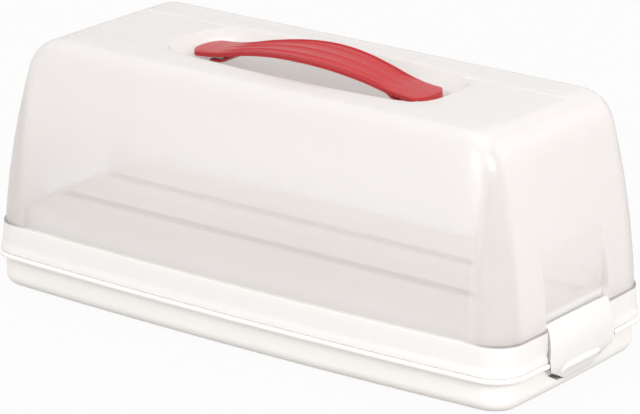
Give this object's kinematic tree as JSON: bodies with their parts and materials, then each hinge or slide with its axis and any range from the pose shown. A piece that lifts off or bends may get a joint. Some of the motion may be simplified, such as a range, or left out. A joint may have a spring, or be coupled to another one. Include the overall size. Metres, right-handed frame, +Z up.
{
  "type": "cake carrier",
  "caption": "Long cake carrier: a translucent hood with a strap handle, clipped at both ends to a white tray with a raised platform.",
  "frame": {"origin": "middle of the tray's flat underside", "axes": "+X along the carrier towards clip_right, +Y across it, +Z up"},
  "size_m": [0.376, 0.1642, 0.1606],
  "materials": {
    "tray_plastic": "smooth white moulded plastic, soft gloss",
    "hood_plastic": "milky translucent moulded plastic",
    "handle_plastic": "red moulded plastic, satin gloss",
    "clip_plastic": "white, slightly translucent moulded plastic"
  },
  "bodies": {
    "base": {"base_tray": "tray_plastic"},
    "lid": {"lid_shell": "hood_plastic", "handle": "handle_plastic"},
    "clip_right": {"clip_right": "clip_plastic"},
    "clip_left": {"clip_left": "clip_plastic"}
  },
  "joints": [
    {"name": "lid_lift", "type": "slide", "parent": "base", "child": "lid", "axis": [0, 0, 1], "range_m": [0, 0.24]},
    {"name": "clip_right_fold", "type": "hinge", "parent": "lid", "child": "clip_right", "pos_m": [0.1787, 0, 0.041], "axis": [0, -1, 0], "range_deg": [0, 150]},
    {"name": "clip_left_fold", "type": "hinge", "parent": "lid", "child": "clip_left", "pos_m": [-0.1787, 0, 0.041], "axis": [0, 1, 0], "range_deg": [0, 150]}
  ]
}
